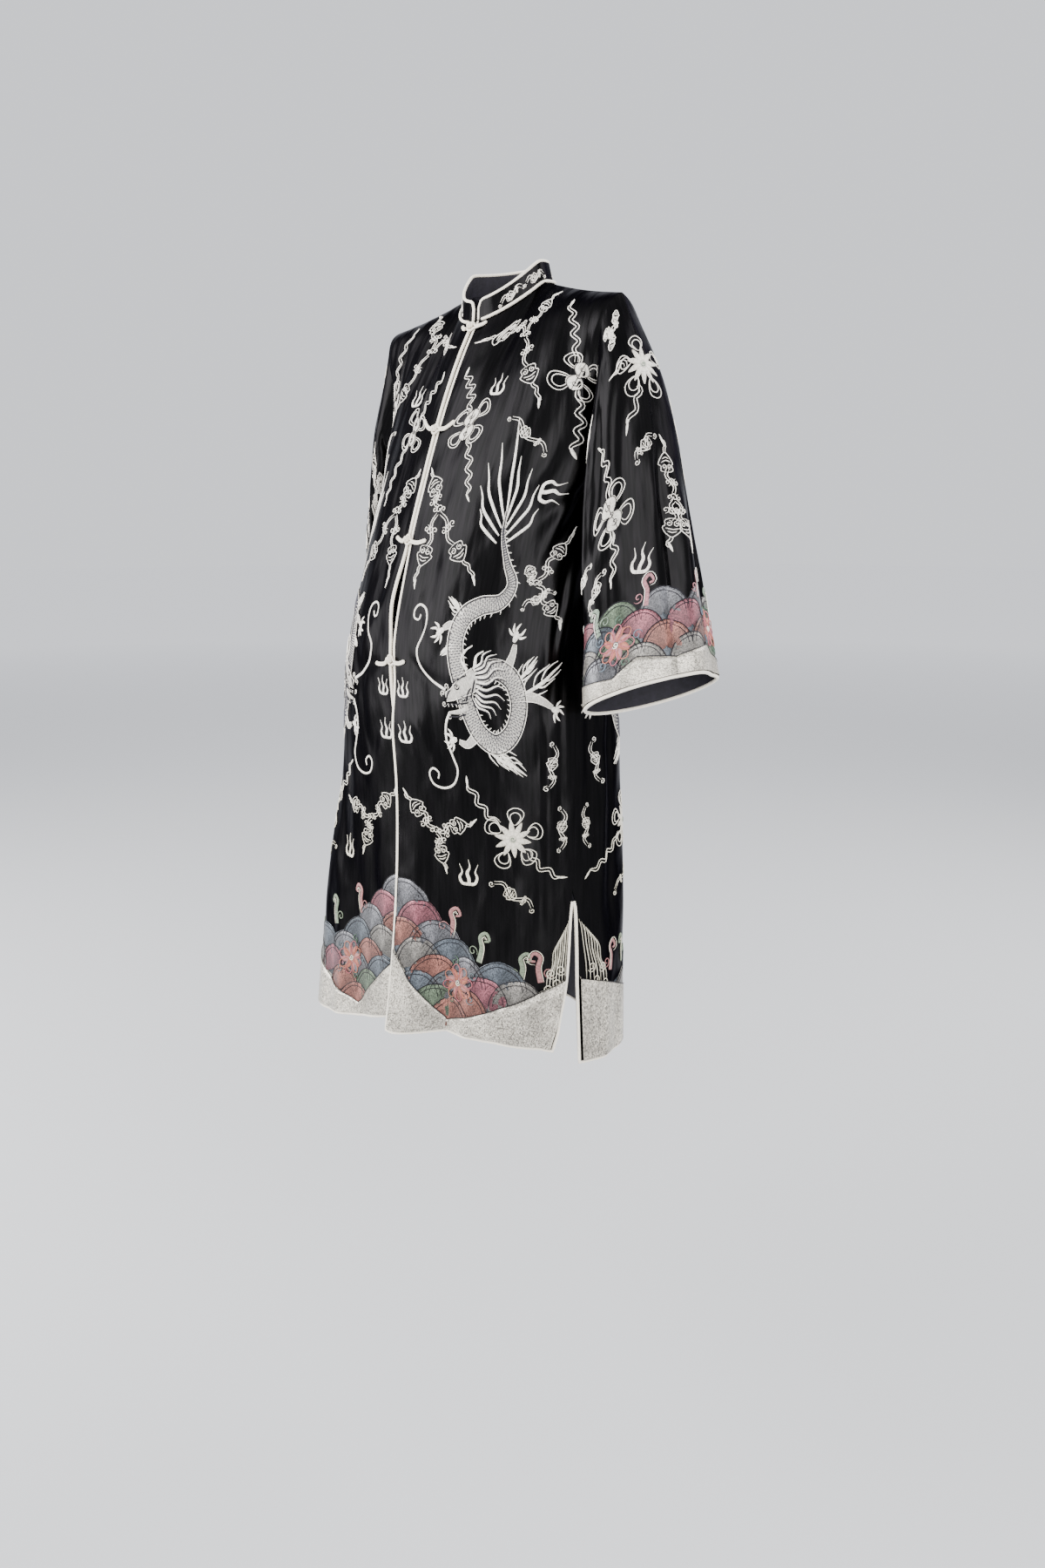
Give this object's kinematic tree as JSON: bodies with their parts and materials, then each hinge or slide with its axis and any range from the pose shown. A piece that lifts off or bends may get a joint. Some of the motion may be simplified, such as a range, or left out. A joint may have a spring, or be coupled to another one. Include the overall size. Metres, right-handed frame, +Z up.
{
  "type": "embroidered silk dressing gown",
  "caption": "Knee-length dressing gown worn open and hollow: stand collar, wide sleeves, side slits, knot fastenings and wave-bordered embroidery on black satin.",
  "frame": {"origin": "middle of the neck at the height of the shoulders, where the wearer carries the gown", "axes": "+Z up, the gown faces -Y, +X is the gown's own left side"},
  "size_m": [0.6594, 0.3477, 0.9763],
  "materials": {
    "silk": "black silk satin",
    "cord": "cream satin cord",
    "embroidery": "couched silver thread"
  },
  "bodies": {
    "root": {"front_left": "silk", "front_right": "silk", "back": "silk", "sleeve_left": "silk", "sleeve_right": "silk", "collar": "silk", "collar_edge_cord": "cord", "collar_seam_cord": "cord", "front_cord_left": "cord", "front_cord_right": "cord", "back_cord": "cord", "cuff_cord_left": "cord", "cuff_cord_right": "cord", "knot_1": "cord", "strap_left_1": "cord", "strap_right_1": "cord", "knot_2": "cord", "strap_left_2": "cord", "strap_right_2": "cord", "knot_3": "cord", "strap_left_3": "cord", "strap_right_3": "cord", "knot_4": "cord", "strap_left_4": "cord", "strap_right_4": "cord"}
  },
  "joints": []
}
